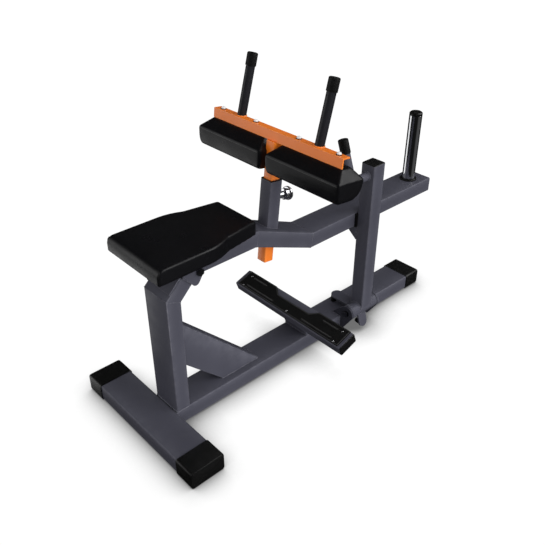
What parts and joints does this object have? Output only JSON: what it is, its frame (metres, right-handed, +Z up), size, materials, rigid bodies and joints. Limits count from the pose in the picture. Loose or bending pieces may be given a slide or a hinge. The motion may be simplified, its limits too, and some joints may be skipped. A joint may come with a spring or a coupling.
{
  "type": "seated calf raise machine",
  "caption": "Plate-loaded seated calf raise machine with a pivoting lever, height-adjustable thigh pads, a foot rest and a swing-out safety catch.",
  "frame": {"origin": "middle of the footprint at floor height", "axes": "+Z up, +Y from the seat towards the weight horn, +X to the sitter's right"},
  "size_m": [0.643, 1.412, 1.0874],
  "materials": {
    "frame_paint": "satin slate-grey powder coat",
    "orange_paint": "satin orange powder coat",
    "black_plastic": "moulded, lightly textured",
    "rubber": "matte black rubber",
    "vinyl": "black upholstery vinyl, semi-gloss",
    "chrome": "polished",
    "dark_steel": "black oxide"
  },
  "bodies": {
    "frame": {"rear_cross_tube": "frame_paint", "cross_cap_left": "black_plastic", "cross_cap_right": "black_plastic", "base_beam": "frame_paint", "base_beam_cap": "black_plastic", "seat_post": "frame_paint", "post_brace": "frame_paint", "seat_carrier": "frame_paint", "seat_pad": "vinyl", "pivot_hanger_left": "frame_paint", "pivot_hanger_right": "frame_paint", "pivot_bolt": "dark_steel", "pivot_nut": "dark_steel", "foot_rest_stub": "frame_paint", "foot_rest_bar": "frame_paint", "foot_rest_cap_left": "black_plastic", "foot_rest_cap_right": "black_plastic", "foot_rest_tread": "rubber", "catch_lug_rear": "frame_paint", "catch_lug_front": "frame_paint", "catch_hinge_bolt": "dark_steel", "catch_hinge_nut": "dark_steel"},
    "lever": {"lever_rear": "frame_paint", "lever_slope": "frame_paint", "lever_front": "frame_paint", "lever_barrel": "dark_steel", "pivot_bushing_left": "black_plastic", "pivot_bushing_right": "black_plastic", "lever_end_plate": "frame_paint", "pad_sleeve": "frame_paint", "sleeve_liner": "black_plastic", "pin_housing": "chrome", "weight_horn": "chrome", "horn_ring": "rubber", "horn_cap": "black_plastic"},
    "pad_carriage": {"pad_post": "orange_paint", "pad_angle": "orange_paint", "pad_bolt_1": "chrome", "pad_bolt_2": "chrome", "pad_bolt_3": "chrome", "pad_bolt_4": "chrome", "handle_left": "frame_paint", "handle_right": "frame_paint", "handle_tip_left": "rubber", "handle_tip_right": "rubber", "thigh_pad_left": "vinyl", "thigh_pad_right": "vinyl"},
    "pull_pin": {"pull_pin": "chrome"},
    "safety_catch": {"catch_hinge_tube": "frame_paint", "catch_bushing_rear": "black_plastic", "catch_bushing_front": "black_plastic", "catch_upright": "frame_paint", "catch_top_cap": "black_plastic", "catch_shelf": "frame_paint", "catch_far_arm": "frame_paint", "catch_far_bumper": "rubber", "catch_near_arm": "frame_paint", "catch_near_bumper": "rubber", "catch_handle": "frame_paint", "catch_grip": "rubber"}
  },
  "joints": [
    {"name": "lever_pivot", "type": "hinge", "parent": "frame", "child": "lever", "pos_m": [0, -0.46165, 0.5673], "axis": [1, 0, 0], "range_deg": [0, 4.5]},
    {"name": "pad_height", "type": "slide", "parent": "lever", "child": "pad_carriage", "axis": [0, 0.1045, 0.9945], "range_m": [-0.025, 0.125]},
    {"name": "pin_pull", "type": "slide", "parent": "lever", "child": "pull_pin", "axis": [0, 0.9945, -0.1045], "range_m": [0, 0.012], "stiffness_N_per_m": 900, "springref_m": -0.008},
    {"name": "catch_swing", "type": "hinge", "parent": "frame", "child": "safety_catch", "pos_m": [0.092, -0.64265, 0.0933], "axis": [0, 1, 0], "range_deg": [0, 22]}
  ]
}
